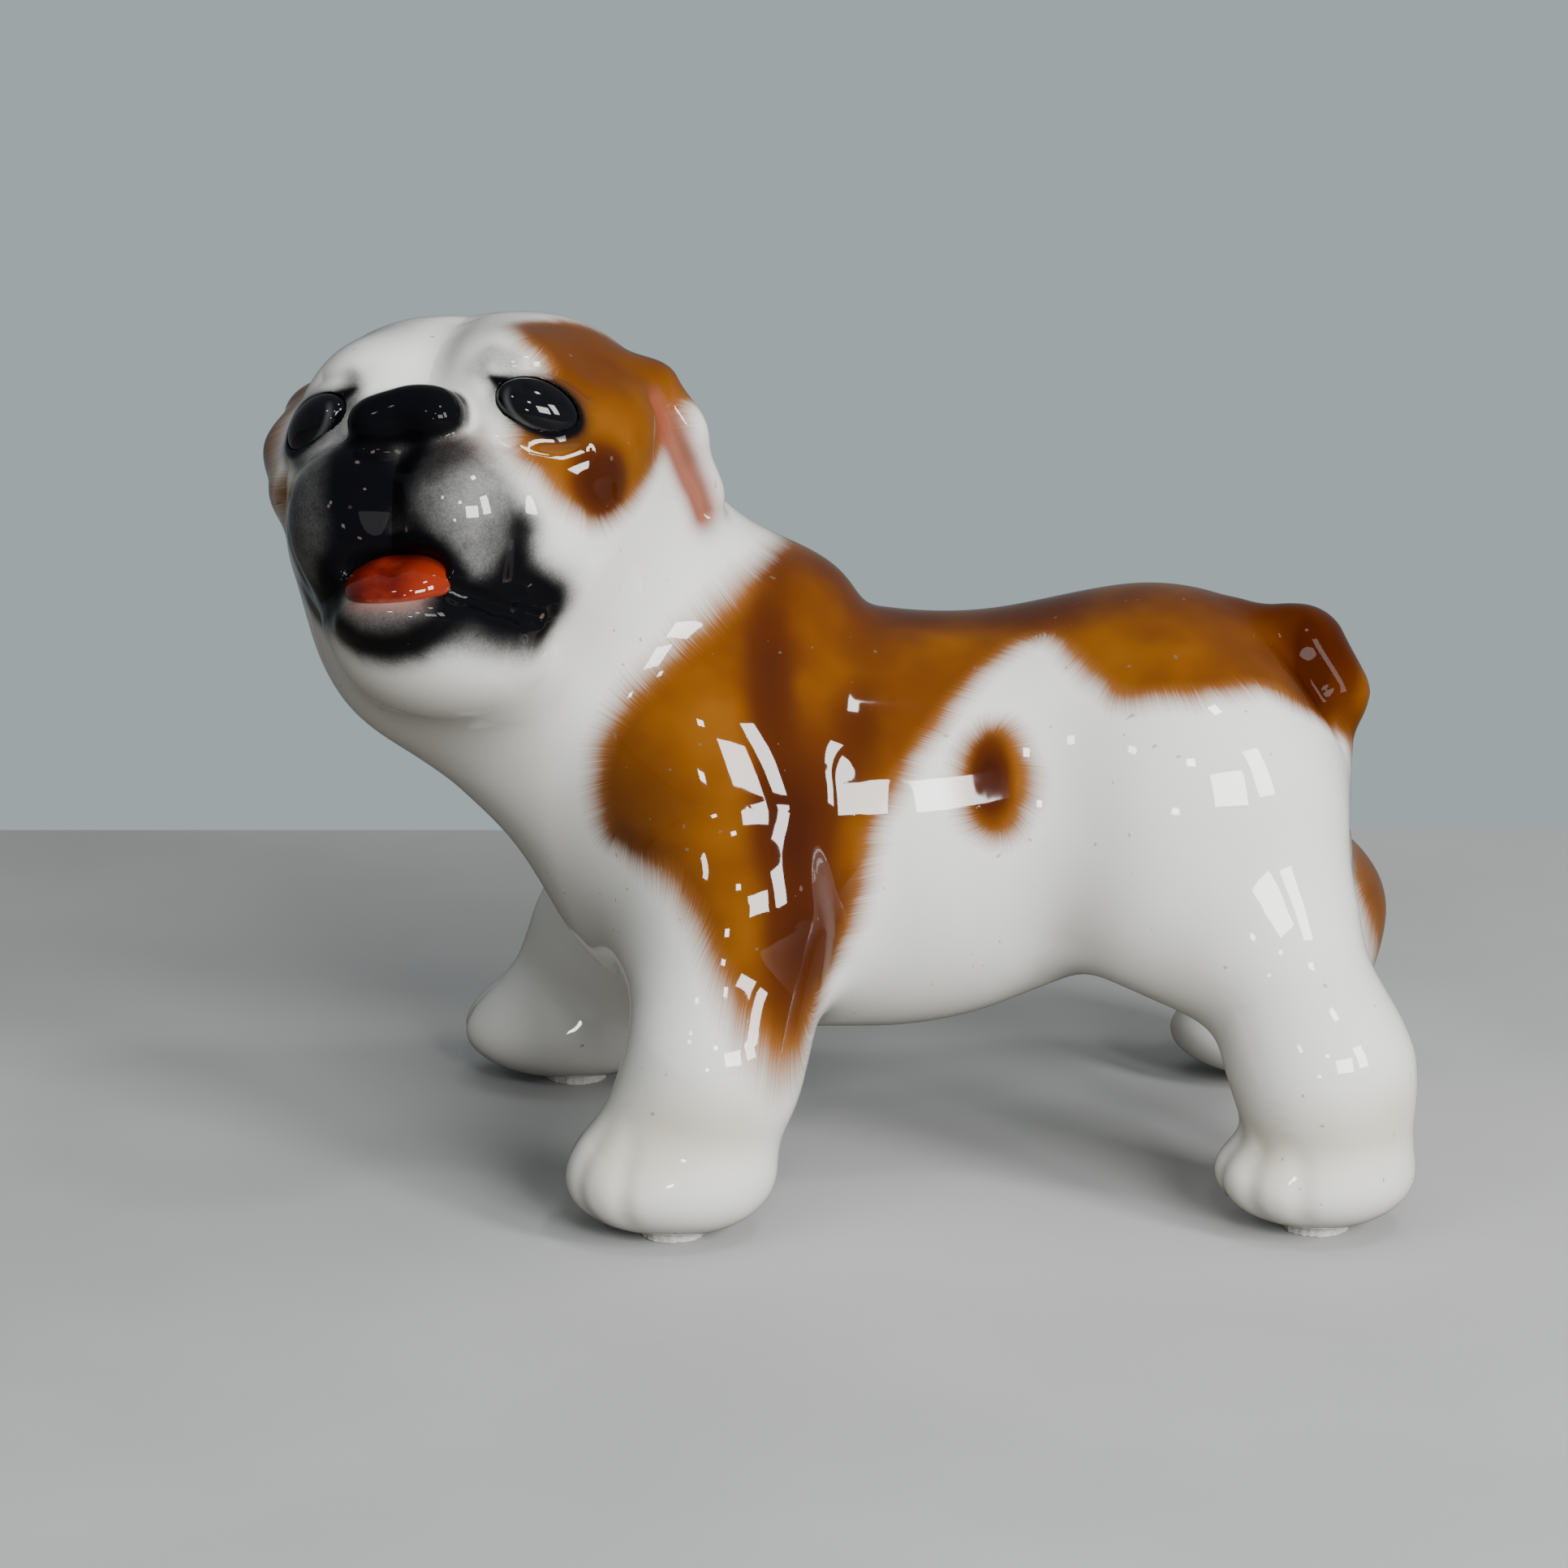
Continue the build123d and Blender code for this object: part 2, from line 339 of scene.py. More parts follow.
def muzzle(field, snout, both):
    """The two upper lips and the lower jaw."""
    field = smooth_min(field, ellipsoid(both, (43, 17, -21.5), (20, 17.5, 20.5), axes_of(turn=-8)), 10)
    return smooth_min(field, ellipsoid(snout, (33, 2, -51), (28, 26, 15.5)), 16)


def nose(snout):
    """A broad smooth nose pad, its left end a little higher, with two curled wings."""
    axes = axes_of(tilt=-16, lean=NOSE_LEAN)
    field = ellipsoid(snout, (48.5, 1.2, 5.2), (10.5, 14.8, 8.6), axes)
    for side in (-1, 1):
        wing = (51, 1.2 + side * 9.6, 3.4)
        field = smooth_min(field, ellipsoid(snout, wing, (7.5, 6.4, 6.0)), 6)
    middle = line_distance(snout, [(61, 1, 4), (61, 0, -8)])
    return field + 0.5 * hump(middle, 2.2)


def mouth(field, snout, both):
    """The lower lip, the open mouth under the cleft upper lip, and the slit back to each corner."""
    lip = ellipsoid(snout, (53.5, 2, -53), (10.5, 17, 6.5))
    field = smooth_min(field, lip, 4)
    opening = ellipsoid(snout, (62, 2, -40), (17, 15.5, 6.5), axes_of(tilt=6))
    field = smooth_max(field, -opening, 2.5)
    cleft = tube(both, [((68.5, 0, -25), 1.0), ((65, 7, -33), 2.6), ((61, 14, -40), 3.2)], 2)
    field = smooth_max(field, -cleft, 3)
    philtrum = line_distance(snout, [(60, 0, -8), (65, 0, -18), (66, 0, -28)])
    field = field + 2.4 * hump(philtrum, 2.4)
    slit = tube(both, list(zip(MOUTH_LINE, MOUTH_RADII)), 2)
    return smooth_max(field, -slit, 2.5)


# Soft creases of the face: (path, depth, width). Those of the lips move with the snout.
LIP_CREASES = [([(50, 36, -20), (47, 36, -30), (42, 34, -40)], 1.9, 4.2),
               ([(52, 4, 16), (50, 14, 11), (48, 19, 2)], 1.0, 3.0)]
BROW_CREASES = [([(46, 17, 22), (46, 20, 14)], 1.2, 2.6),
                ([(44, 22, 19), (38, 32, 20), (28, 42, 15)], 1.3, 2.6),
                ([(48, 25, -3), (44, 32, -5.5), (38, 40, -5), (33, 45, -2)], 1.0, 2.4)]
FOREHEAD_CREASE = [([(20, 0, 44), (34, 0, 33), (44, 0, 21)], 2.2, 6.0)]


def creased(field, places, creases):
    for path, depth, width in creases:
        field = field + depth * hump(line_distance(places, path), width)
    return field


def folds(field, head, both, both_snout):
    """Creases behind the lips, beside the nose, round the eyes, and down the forehead."""
    field = creased(field, both_snout, LIP_CREASES)
    field = creased(field, both, BROW_CREASES)
    return creased(field, head, FOREHEAD_CREASE)


def lids(field, eyes):
    """A thin soft lid round each eye, and the socket that its glazed bulge sits in."""
    rim = np.abs(eye_outline(eyes)) + 2.0 * (eye_local(eyes)[:, 0] < -9)
    field = field - 0.35 * hump(rim, 2.6) * (eyes[:, 0] > FACE_FRONT)
    return smooth_max(field, -(eyeball(eyes) - 0.1), 0.5)


def head_form(head):
    """The whole head with its throat, without ears."""
    both, snout = mirrored(head), head - SNOUT_SHIFT
    both_snout = mirrored(snout)
    field = skull(head, both)
    field = muzzle(field, snout, both_snout)
    field = smooth_min(field, ellipsoid(head, (14, 2, -57), (34, 27, 15)), 14)
    field = folds(field, head, both, both_snout)
    field = smooth_min(field, nose(snout), 4)
    field = mouth(field, snout, both_snout)
    return lids(field, eye_side(head))


HEAD_BLEND, EAR_BLEND, TAIL_BLEND = 20, 8, 5
SOLE = 3.0


def carcass(points):
    """Body and head as one surface, without ears and tail, cut flat under the paws."""
    field = smooth_min(body(points), head_form(to_head(points)), HEAD_BLEND)
    return np.maximum(field, SOLE - points[:, 2])


EAR_DROP, EAR_OUT = {"left": 0.0, "right": 2.5}, {"left": 0.0, "right": 3.5}
EAR_CHANNEL = [(5, 55, 19), (-4, 57.5, 10), (-11, 59, 4), (-17, 60.5, -2), (-21, 61, -7)]
EAR_FLAP = [((1, 46, 23), 8.5), ((12, 45.5, 10), 8.5), ((23, 41, -4), 7.5)]
EAR_RIM = [((-4, 50.5, 25), 8.5), ((-13, 54.5, 14), 7.8), ((-25, 56, 0), 7.5), ((-37, 50, -13), 5)]


def ear_places(points, name):
    """Head places as seen from one ear, folded onto the left one."""
    head = to_head(points)
    head[:, 1] = head[:, 1] * HEAD_SIDE[name] - EAR_OUT[name]
    head[:, 2] += EAR_DROP[name]
    return head


def ear_flap(head):
    return tube(head, EAR_FLAP, 8)


def ear(points, name):
    """A folded ear: a flap laid forward, a channel behind it, and a rim that runs into the neck."""
    head, rim = ear_places(points, name), ear_places(points, name)
    rim[:, 1] += EAR_OUT[name]
    field = smooth_min(tube(rim, EAR_RIM, 10), ear_flap(head), 5)
    inside = line_distance(head, EAR_CHANNEL)
    return field + 3.6 * hump(inside, 3.2)


def tail(points):
    """A short plump tail that curls over and lies down against the rump."""
    return tube(points, [((134, 0, 156), 12.5), ((151, -3, 154), 13), ((159, -8, 143), 11),
                         ((160, -9, 129), 5)], 8)


# How far short of the blend's end the skirt of an attached part stops.
SKIRT = 0.25


def attached(part, blend, root_depth):
    """A part that grows out of the carcass: its blended surface, closed off by a plug inside it."""
    def field(points):
        base, own = carcass(points), part(points)
        outer = smooth_min(base, own, blend)
        return np.maximum(np.maximum(outer, own - (blend - SKIRT)), -base - root_depth)

    def surface(points):
        return smooth_min(carcass(points), part(points), blend)
    return field, surface


def one_eye(points, name):
    """Head places as seen from one eye, folded onto the left one."""
    head = to_head(points)
    head[:, 1] *= HEAD_SIDE[name]
    head[:, 2] += EYE_DROP[name]
    return head


# The almond is where two wide circles overlap.
LID_OFFSET, LID_RADIUS = 9.0, 17.6


def eye(name):
    """The glazed bulge of an eye, pinched to an almond at both corners."""
    def field(points):
        head = one_eye(points, name)
        local = eye_local(head)
        upper = np.hypot(local[:, 1], local[:, 2] + LID_OFFSET) - LID_RADIUS
        lower = np.hypot(local[:, 1], local[:, 2] - LID_OFFSET) - LID_RADIUS
        return smooth_max(eyeball(head), np.maximum(upper, lower), 2.0)
    return field


TONGUE, TONGUE_RADII, TONGUE_DROOP = (51.5, -0.5, -42.0), (14.5, 16.0, 7.6), 32


def tongue(points):
    """A fat tongue that droops over the lip, with a shallow channel down its middle."""
    head = to_head(points)
    axes = axes_of(tilt=TONGUE_DROOP)
    field = ellipsoid(head, TONGUE, TONGUE_RADII, axes)
    local = (head - np.asarray(TONGUE, np.float32)) @ axes.astype(np.float32)
    hollow = hump(local[:, 1], 4.5) * hump(local[:, 0] - 4, 9)
    return field + 1.3 * hollow * (local[:, 2] > 0)


PAD_RADIUS, PAD_WEAR, PAD_EDGE = 9.5, 0.3, 0.5


def foot_pad(name):
    """A felt disc, a little uneven round its rim, as pressed under the paw."""
    x, y = FEET[name]

    def field(points):
        across, along = points[:, 0] - x, points[:, 1] - y
        angle = np.arctan2(along, across)
        wobble = (0.12 * np.sin(5 * angle + x) + 0.10 * np.sin(11 * angle + y)
                  + 0.08 * np.sin(23 * angle))
        rim = np.hypot(across, along) - (PAD_RADIUS - PAD_WEAR + wobble)
        height = np.abs(points[:, 2] - SOLE / 2) - SOLE / 2
        return smooth_max(rim, height, PAD_EDGE)
    return field


# ---- meshes

CHUNK, ROW_CHUNK = 50_000, 4000
# The field is first sampled REFINE times too coarsely, then finely only near its zero level.
REFINE, NEAR_CELLS = 4, 2.2
BAND_CELLS, PROJECTIONS = 3, 3
SLOPE_STEP = 0.06
# Below this value of the blended surface a point belongs to the hidden root of an attached part.
HIDDEN = -0.3


def evaluate(field, points):
    """A field's values at many points, worked out in parallel."""
    parts = [points[i:i + CHUNK].astype(np.float32) for i in range(0, len(points), CHUNK)]
    with ThreadPoolExecutor() as pool:
        return np.concatenate(list(pool.map(field, parts)))


def slope_of(field, points):
    slope = np.zeros_like(points)
    for axis in range(3):
        nudge = np.zeros(3)
        nudge[axis] = SLOPE_STEP
        rise = evaluate(field, points + nudge) - evaluate(field, points - nudge)
        slope[:, axis] = rise / (2 * SLOPE_STEP)
    return slope


def isosurface(field, low, high, voxel):
    """Points and quads of a field's zero level inside a box, pulled exactly onto the level."""
    low, high = np.asarray(low, float), np.asarray(high, float)
    coarse = REFINE * voxel
    count = np.ceil((high - low) / coarse).astype(int) + 1
    axes = [low[i] + coarse * np.arange(count[i]) for i in range(3)]
    places = np.stack(np.meshgrid(*axes, indexing="ij"), -1).reshape(-1, 3)
    rough = evaluate(field, places).reshape(count)
    band = BAND_CELLS * voxel
    values = np.where(rough < 0, -band, band).astype(np.float32)
    for axis in range(3):
        values = np.repeat(values, REFINE, axis)
    near = np.argwhere(np.abs(rough) < NEAR_CELLS * coarse)
    inner = np.stack(np.meshgrid(*[np.arange(REFINE)] * 3, indexing="ij"), -1).reshape(-1, 3)
    cells = (near[:, None, :] * REFINE + inner[None]).reshape(-1, 3)
    values[tuple(cells.T)] = evaluate(field, low + cells * voxel)
    grid = openvdb.FloatGrid(band)
    grid.copyFromArray(values)
    points, quads = grid.convertToQuads(0.0)
    points = points.astype(float) * voxel + low
    for _ in range(PROJECTIONS):
        slope = slope_of(field, points)
        steep = np.maximum((slope ** 2).sum(-1), 0.05)
        move = -slope * (evaluate(field, points) / steep)[:, None]
        length = np.linalg.norm(move, axis=1, keepdims=True)
        points = points + move * np.minimum(1, 0.5 * voxel / np.maximum(length, TINY))
    return points, quads


def new_object(name, points, quads):
    """A Blender object in metres in the CAD frame from sculpt-frame points."""
    mesh = bpy.data.meshes.new(name)
    mesh.vertices.add(len(points))
    mesh.vertices.foreach_set("co", ((points + SHIFT) * MM).astype(np.float32).ravel())
    mesh.loops.add(len(quads) * 4)
    mesh.loops.foreach_set("vertex_index", quads.astype(np.int32).ravel())
    mesh.polygons.add(len(quads))
    mesh.polygons.foreach_set("loop_start", np.arange(0, len(quads) * 4, 4, dtype=np.int32))
    mesh.update()
    mesh.validate()
    obj = bpy.data.objects.new(name, mesh)
    bpy.context.scene.collection.objects.link(obj)
    return obj


def mesh_points(obj):
    """A mesh's points, back in the sculpt frame."""
    flat = np.zeros(len(obj.data.vertices) * 3, np.float32)
    obj.data.vertices.foreach_get("co", flat)
    return flat.reshape(-1, 3).astype(float) / MM - SHIFT


def cut_at_join(obj, keep_head):
    """Cuts a mesh along the neck join, keeps one side and closes it."""
    work = bmesh.new()
    work.from_mesh(obj.data)
    place = Vector((JOIN_POINT + SHIFT) * MM)
    everything = work.verts[:] + work.edges[:] + work.faces[:]
    parts = bmesh.ops.bisect_plane(work, geom=everything, dist=1e-7,
                                   plane_co=place, plane_no=Vector(JOIN_NORMAL),
                                   clear_inner=keep_head, clear_outer=not keep_head)
    rim = [item for item in parts["geom_cut"] if isinstance(item, bmesh.types.BMEdge)]
    bmesh.ops.contextual_create(work, geom=rim)
    bmesh.ops.triangulate(work, faces=[f for f in work.faces if len(f.verts) > 4])
    bmesh.ops.recalc_face_normals(work, faces=work.faces[:])
    work.to_mesh(obj.data)
    work.free()


def shade(obj, surface, own=None):
    """Smooth shading with normals read from the field, so that pieces meet without a visible seam."""
    points = mesh_points(obj)
    slope = slope_of(surface, points)
    if own is not None:
        hidden = evaluate(surface, points) < HIDDEN
        slope[hidden] = slope_of(own, points[hidden])
    normals = slope / np.maximum(np.linalg.norm(slope, axis=1, keepdims=True), TINY)
    obj.data.polygons.foreach_set("use_smooth", np.ones(len(obj.data.polygons), bool))
    obj.data.normals_split_custom_set_from_vertices(normals.astype(np.float32))


def give(obj, name, values):
    """Stores one number or one vector per point on a mesh."""
    kind, field = ("FLOAT", "value") if values.ndim == 1 else ("FLOAT_VECTOR", "vector")
    attribute = obj.data.attributes.new(name, kind, "POINT")
    attribute.data.foreach_set(field, values.astype(np.float32).ravel())


# ---- painted patches

GIRTH_RADIUS, GIRTH_HEIGHT = 58.0, 110.0
HEAD_RADIUS = 50.0
# Hair strokes lean along the edge as they go in; each patch reads its noise from a place of its own.
STROKE_SLANT, PATCH_APART = 0.3, 40.0


def body_chart(points):
    """Unrolls the body: distance along it, and distance round it from the spine, left side positive."""
    girth = GIRTH_RADIUS * np.arctan2(-points[:, 1], points[:, 2] - GIRTH_HEIGHT)
    return np.stack([points[:, 0], girth], -1)


def head_chart(points):
    """Unrolls the head round its nose: millimetres towards its left and towards its crown."""
    head = to_head(points)
    away = HEAD_RADIUS * np.arctan2(np.hypot(head[:, 1], head[:, 2]), head[:, 0])
    round_nose = np.arctan2(head[:, 2], head[:, 1])
    return np.stack([away * np.cos(round_nose), away * np.sin(round_nose)], -1)


def smooth_outline(places, steps=6):
    """A closed Catmull-Rom curve through a few places."""
    at = np.asarray(places, float)
    before, after, beyond = np.roll(at, 1, 0), np.roll(at, -1, 0), np.roll(at, -2, 0)
    curve = []
    for t in np.arange(steps) / steps:
        curve.append(0.5 * (2 * at + (after - before) * t
                            + (2 * before - 5 * at + 4 * after - beyond) * t ** 2
                            + (3 * at - before - 3 * after + beyond) * t ** 3))
    return np.stack(curve, 1).reshape(-1, 2)


def oval(x, y, across, along, lean=0):
    """A leaning oval as a closed outline."""
    a = math.radians(lean)
    places = []
    for t in np.radians(np.arange(0, 360, 30)):
        right, up = across * math.cos(t), along * math.sin(t)
        places.append((x + right * math.cos(a) - up * math.sin(a),
                       y + right * math.sin(a) + up * math.cos(a)))
    return places


def patch_depth(places, outlines):
    """How deep each place lies inside the nearest patch, negative outside, and its nearest edge place."""
    rings = [smooth_outline(o) for o in outlines]

    def work(rows):
        best = np.full(len(rows), -FAR_OUTSIDE)
        edge = np.zeros((len(rows), 3))
        for number, ring in enumerate(rings):
            start, line = ring, np.roll(ring, -1, 0) - ring
            along = ((rows[:, None] - start) * line).sum(-1) / (line ** 2).sum(-1)
            nearest = start + np.clip(along, 0, 1)[..., None] * line
            gap = np.linalg.norm(rows[:, None] - nearest, axis=-1)
            pick = gap.argmin(1)
            rise = (start[:, 1] > rows[:, 1:2]) != (start[:, 1] + line[:, 1] > rows[:, 1:2])
            with np.errstate(divide="ignore", invalid="ignore"):
                cross = start[:, 0] + (rows[:, 1:2] - start[:, 1]) * line[:, 0] / line[:, 1]
            inside = (rise & (rows[:, 0:1] < cross)).sum(1) % 2 == 1
            depth = np.where(inside, 1, -1) * gap[np.arange(len(rows)), pick]
            better = depth > best
            best[better] = depth[better]
            place = nearest[np.arange(len(rows)), pick]
            tangent = line[pick] / np.linalg.norm(line[pick], axis=1, keepdims=True)
            place = place + STROKE_SLANT * depth[:, None] * tangent
            edge[better, :2] = place[better]
            edge[better, 2] = PATCH_APART * number
        return best, edge

    parts = [places[i:i + ROW_CHUNK] for i in range(0, len(places), ROW_CHUNK)]
    with ThreadPoolExecutor() as pool:
        done = list(pool.map(work, parts))
    return np.concatenate([d for d, _ in done]), np.concatenate([e for _, e in done])


# Body patches are (along the body, round it from the spine), left side positive.
SADDLE = [(-2, 0), (-9, 20), (-19, 31), (-34, 44), (-48, 55), (-54, 64), (-56, 76), (-53, 89),
          (-44, 95), (-34, 98), (-27, 103), (-20, 112), (-9, 121), (1, 126.5), (10, 126), (18, 118.5),
          (24, 106), (27, 91), (31, 81), (38, 68), (47, 54), (58, 38), (71, 25), (79, 31), (90, 47),
          (100, 52), (120, 52), (138, 47), (150, 49), (161, 45), (172, 20), (178, -20), (186, -60),
          (196, -100), (188, -118), (168, -124), (148, -112), (130, -92), (122, -70), (108, -52),
          (92, -40), (74, -30), (56, -26), (40, -32), (26, -46), (20, -64), (8, -80), (-8, -88),
          (-28, -84), (-42, -70), (-42, -52), (-30, -36), (-16, -22)]
FLANK_SPOT = oval(60, 72, 12.5, 20)
RIGHT_SPOT = oval(66, -74, 12, 15, 20)
HOCK_SPOT = oval(188, -124, 16, 18)
BODY_PATCHES = [SADDLE, FLANK_SPOT, RIGHT_SPOT, HOCK_SPOT]
# Darker tan inside them, mostly brushed; (153, 27) is painted shade in the crease by the tail, and (60,
# 6) and (150, 10) darken the back: (along, round, reach along, reach round, strength).
BODY_SHADES = [(3, 84, 14, 20, 1.0), (4, 110, 11, 12, 0.7), (59, 71, 6, 12, 1.2), (-4, 46, 9, 26, 0.8),
               (22, 58, 10, 24, 0.6), (60, 6, 80, 18, 0.6), (150, 10, 20, 40, 0.5),
               (-44, 90, 18, 8, 0.4), (66, -74, 7, 9, 1.0), (0, -60, 16, 22, 0.8),
               # The last entry on the next line is painted shade: dark brown in the crease where the tail
               # lies on the rump.
               (160, -80, 16, 30, 0.5), (163, 16, 6, 22, 0.5), (153, 27, 5, 14, 1.0)]

# Head patches are (towards its left, towards its crown) round the nose.
EYE_PATCH = [(24, 46), (22, 37), (26, 28), (33, 20), (29, 8), (26, -1), (29, -9), (36, -16),
             (42, -21.5), (48, -24), (56, -23), (65, -17.5), (73, -8), (78, 3), (80.5, 14), (80, 24),
             (84, 34), (77, 46), (66, 54), (52, 58), (38, 56)]
EAR_PATCH = [(-58, 4), (-56, 20), (-56, 34), (-64, 44), (-76, 42), (-88, 28), (-90, 8), (-82, -8),
             (-68, -12)]
HEAD_PATCHES = [EYE_PATCH, EAR_PATCH]
HEAD_SHADES = [(52, -10, 10, 12, 1.3), (36, 14, 14, 10, 0.4), (62, 34, 20, 16, 0.4),
               (-66, 10, 12, 20, 0.6)]


def shade_sum(places, shades):
    total = np.zeros(len(places))
    for x, y, across, along, strength in shades:
        total += strength * hump(places[:, 0] - x, across) * hump(places[:, 1] - y, along)
    return np.clip(total, 0, 1)


# ---- airbrushed tints

def cover(*layers):
    """Several sprayed layers together, each from 0 to 1."""
    clear = 1.0
    for layer in layers:
        clear = clear * (1 - np.clip(layer, 0, 1))
    return 1 - clear


def spray(distance, reach, strength, core=0.0):
    """Full strength within core of a line, then fading out over reach."""
    return strength * hump(np.maximum(distance - core, 0), reach)


def rounded(head, centre, radii, edge, strength):
    """A sprayed ellipsoid patch with a soft edge of this width."""
    return strength * soft_step(ellipsoid(head, centre, radii), 0.35 * edge)


# Airbrush strokes of black over the face, one of them partly painted shade: (path, reach, strength,
# core).
# Head strokes are in head places, chin strokes in snout places, lip strokes in snout places folded
# onto the left side.
HEAD_STROKES = [([(55, -10, 3), (57, -12.5, -6), (61, -11, -18), (62, -9, -30)], 5.6, 1.0, 4.6),
                ([(57, 3, -1), (58, -1, -8), (60, -3, -16), (64, -1, -27)], 4.4, 1.0, 2.2),
                ([(43.4, 15.8, 20.5), (42.6, 19.2, 24.4), (42, 25, 22)], 3.0, 0.26, 0.8),
                # Grey in the crease at the inner corner of the right eye: partly brown-grey paint, partly
                # painted shade in the fold.
                ([(46, -21, 12), (45, -21.5, 19)], 3.0, 0.5, 0.8),
                ([(44, -26, 0), (40, -36, -4)], 4.5, 0.35, 1.0)]
LIP_STROKES = [([(66, 3, -28), (62, 9, -34), (58, 16, -40)] + MOUTH_LINE[1:], 4.0, 1.0, 2.2),
               ([(44, 29, -46), (35, 33, -43), (29, 34, -43)], 6.0, 1.0, 3.8),
               ([(46.5, 33.5, -27), (45, 32, -34), (42, 31, -41)], 5.2, 0.85, 0.4),
               ([(44, 31.5, -37), (40, 32, -44)], 4.5, 0.9, 1.5)]
CHIN_STROKES = [([(57, 20, -49), (58, 16, -56), (57, 8, -60), (57, 0, -61.5), (57, -8, -60),
                  (58, -15, -55), (56, -20, -47)], 6.0, 0.93, 1.2),
                ([(54, 21, -51), (42, 27, -53), (30, 32, -52)], 5.5, 0.6, 1.0),
                ([(52, 22, -57), (44, 29, -57), (34, 34, -55)], 6.0, 0.42, 1.0)]
# Sprayed clouds: (centre, radii, edge, strength).
MOUTH_CLOUDS = [((55, 2, -38), (14, 17, 9), 1.5, 1.0),
                ((62, 0, -57), (9, 17, 5), 3, 0.5),
                ((57, 10, -7), (12, 13, 10), 5, 0.55),
                ((48, 30, -32), (10, 9, 14), 6, 0.35),
                ((50, -24, -22), (22, 18, 28), 9, 0.27)]
LIP_VEIL = ((57, 14, -24), (18, 21, 20), 6, 0.62)
PAINT_EDGE = 0.35


def strokes(places, lines):
    return [spray(line_distance(places, path), reach, strength, core)
            for path, reach, strength, core in lines]


def face_ink(head):
    """Black on nose, lips, eye rims and mouth corners, sprayed grey over muzzle and chin."""
    snout = head - SNOUT_SHIFT
    both_snout = mirrored(snout)
    pad = ellipsoid(snout, (51, 1.2, 6.4), (19, 16.2, 8.6), axes_of(lean=NOSE_LEAN))
    pad = smooth_min(pad, ellipsoid(snout, (52, 11.6, 3.8), (14, 6.6, 6.2)), 4)
    lid = eye_outline(eye_side(head))
    in_front = head[:, 0] > FACE_FRONT
    layers = [soft_step(pad, PAINT_EDGE), rounded(both_snout, *LIP_VEIL),
              in_front * soft_step(lid, PAINT_EDGE), in_front * spray(np.maximum(lid, 0), 2.2, 0.3)]
    layers += strokes(head, HEAD_STROKES)
    layers += strokes(both_snout, LIP_STROKES)
    layers += strokes(snout, CHIN_STROKES)
    layers += [rounded(snout, *cloud) for cloud in MOUTH_CLOUDS]
    return cover(*layers)


def face_light(head):
    """Where the sprayed black is lighter: the crown of the left lip and its pale lower tip."""
    crown = rounded(head, (61, 23, -21), (9, 7, 9), 6, 0.26)
    tip = rounded(head, (56, 24, -35), (8, 5, 6), 5, 0.12)
    return np.clip(crown + tip, 0, 1)


def face_blush(head):
    """Flesh pink beside the nose and on the lower lip."""
    beside = rounded(head, (54, 18, -5), (8, 9, 7), 7, 0.5)
    lip = rounded(head, (63, 0, -50), (9, 16, 5), 3, 0.8)
    return cover(beside, lip)


def ear_blush(points):
    """Pink in the ear channels, fading out faster over the brown flap."""
    total = np.zeros(len(points))
    for name in HEAD_SIDE:
        head = ear_places(points, name)
        reach = np.where(ear_flap(head) < 3.5, 2.6, 5.0)
        pink = spray(line_distance(head, EAR_CHANNEL), reach, 0.95, 1.6)
        total = np.maximum(total, pink * (head[:, 1] > 30))
    return total


# Brown reaches a little way past the flaps and the tail: edge minus fade times distance.
FLAP_EDGE, FLAP_FADE = 4, 1.6
TAIL_EDGE, TAIL_FADE = 7, 1.8


def flap_depth(points):
    """How deep inside the brown of a folded ear flap a place lies."""
    flaps = [evaluate(lambda p, n=name: ear_flap(ear_places(p, n)), points) for name in HEAD_SIDE]
    return FLAP_EDGE - FLAP_FADE * np.minimum(*flaps)


# Lines along which the glaze is dull; the second is in head places.
TAIL_NOOK = [(146, -15, 163), (157, -18, 152), (162, -18, 143), (160, -15, 133)]
MUZZLE_MIDDLE = [(58, -9, -19), (57.5, -6.5, -26)]


def dull_glaze(points):
    """Where the glaze shines less: the crook of the tail, and the thick black of the muzzle."""
    crook = spray(line_distance(points, TAIL_NOOK), 9, 0.93, 6)
    middle = spray(line_distance(to_head(points), MUZZLE_MIDDLE), 5, 0.9, 5)
    return cover(crook, middle)


def instep_tint(points):
    """A yellowish breath of colour in bands over the insteps of the paws."""
    total = np.zeros(len(points))
    for name, foot in FEET.items():
        side = SIDE[name.split("_")[1]]
        x, y = foot
        bands = line_distance(points, [(x - 14, y + side * 14, 28), (x + 2, y + side * 20, 36),
                                       (x + 16, y + side * 18, 38)])
        total = np.maximum(total, spray(bands, 9, 0.5, 2))
    return total


def paint(obj, on_head):
    """Stores the painting of one piece on its points, for the painted glaze to read."""
    points = mesh_points(obj)
    head = to_head(points)
    if on_head:
        chart, patches, shades = head_chart(points), HEAD_PATCHES, HEAD_SHADES
        blush = cover(face_blush(head), ear_blush(points))
        warm = np.zeros(len(points))
    else:
        chart, patches, shades = body_chart(points), BODY_PATCHES, BODY_SHADES
        blush = np.zeros(len(points))
        warm = instep_tint(points)
    depth, edge = patch_depth(chart, patches)
    raised = flap_depth(points) if on_head else TAIL_EDGE - TAIL_FADE * evaluate(tail, points)
    depth = np.maximum(depth, raised)
    give(obj, "patch_depth", depth)
    give(obj, "patch_edge", edge)
    give(obj, "patch_shade", shade_sum(chart, shades))
    give(obj, "dull", dull_glaze(points))
    give(obj, "ink", face_ink(head) * (1 - face_light(head)))
    give(obj, "blush", blush)
    give(obj, "warm", warm)


# ---- materials

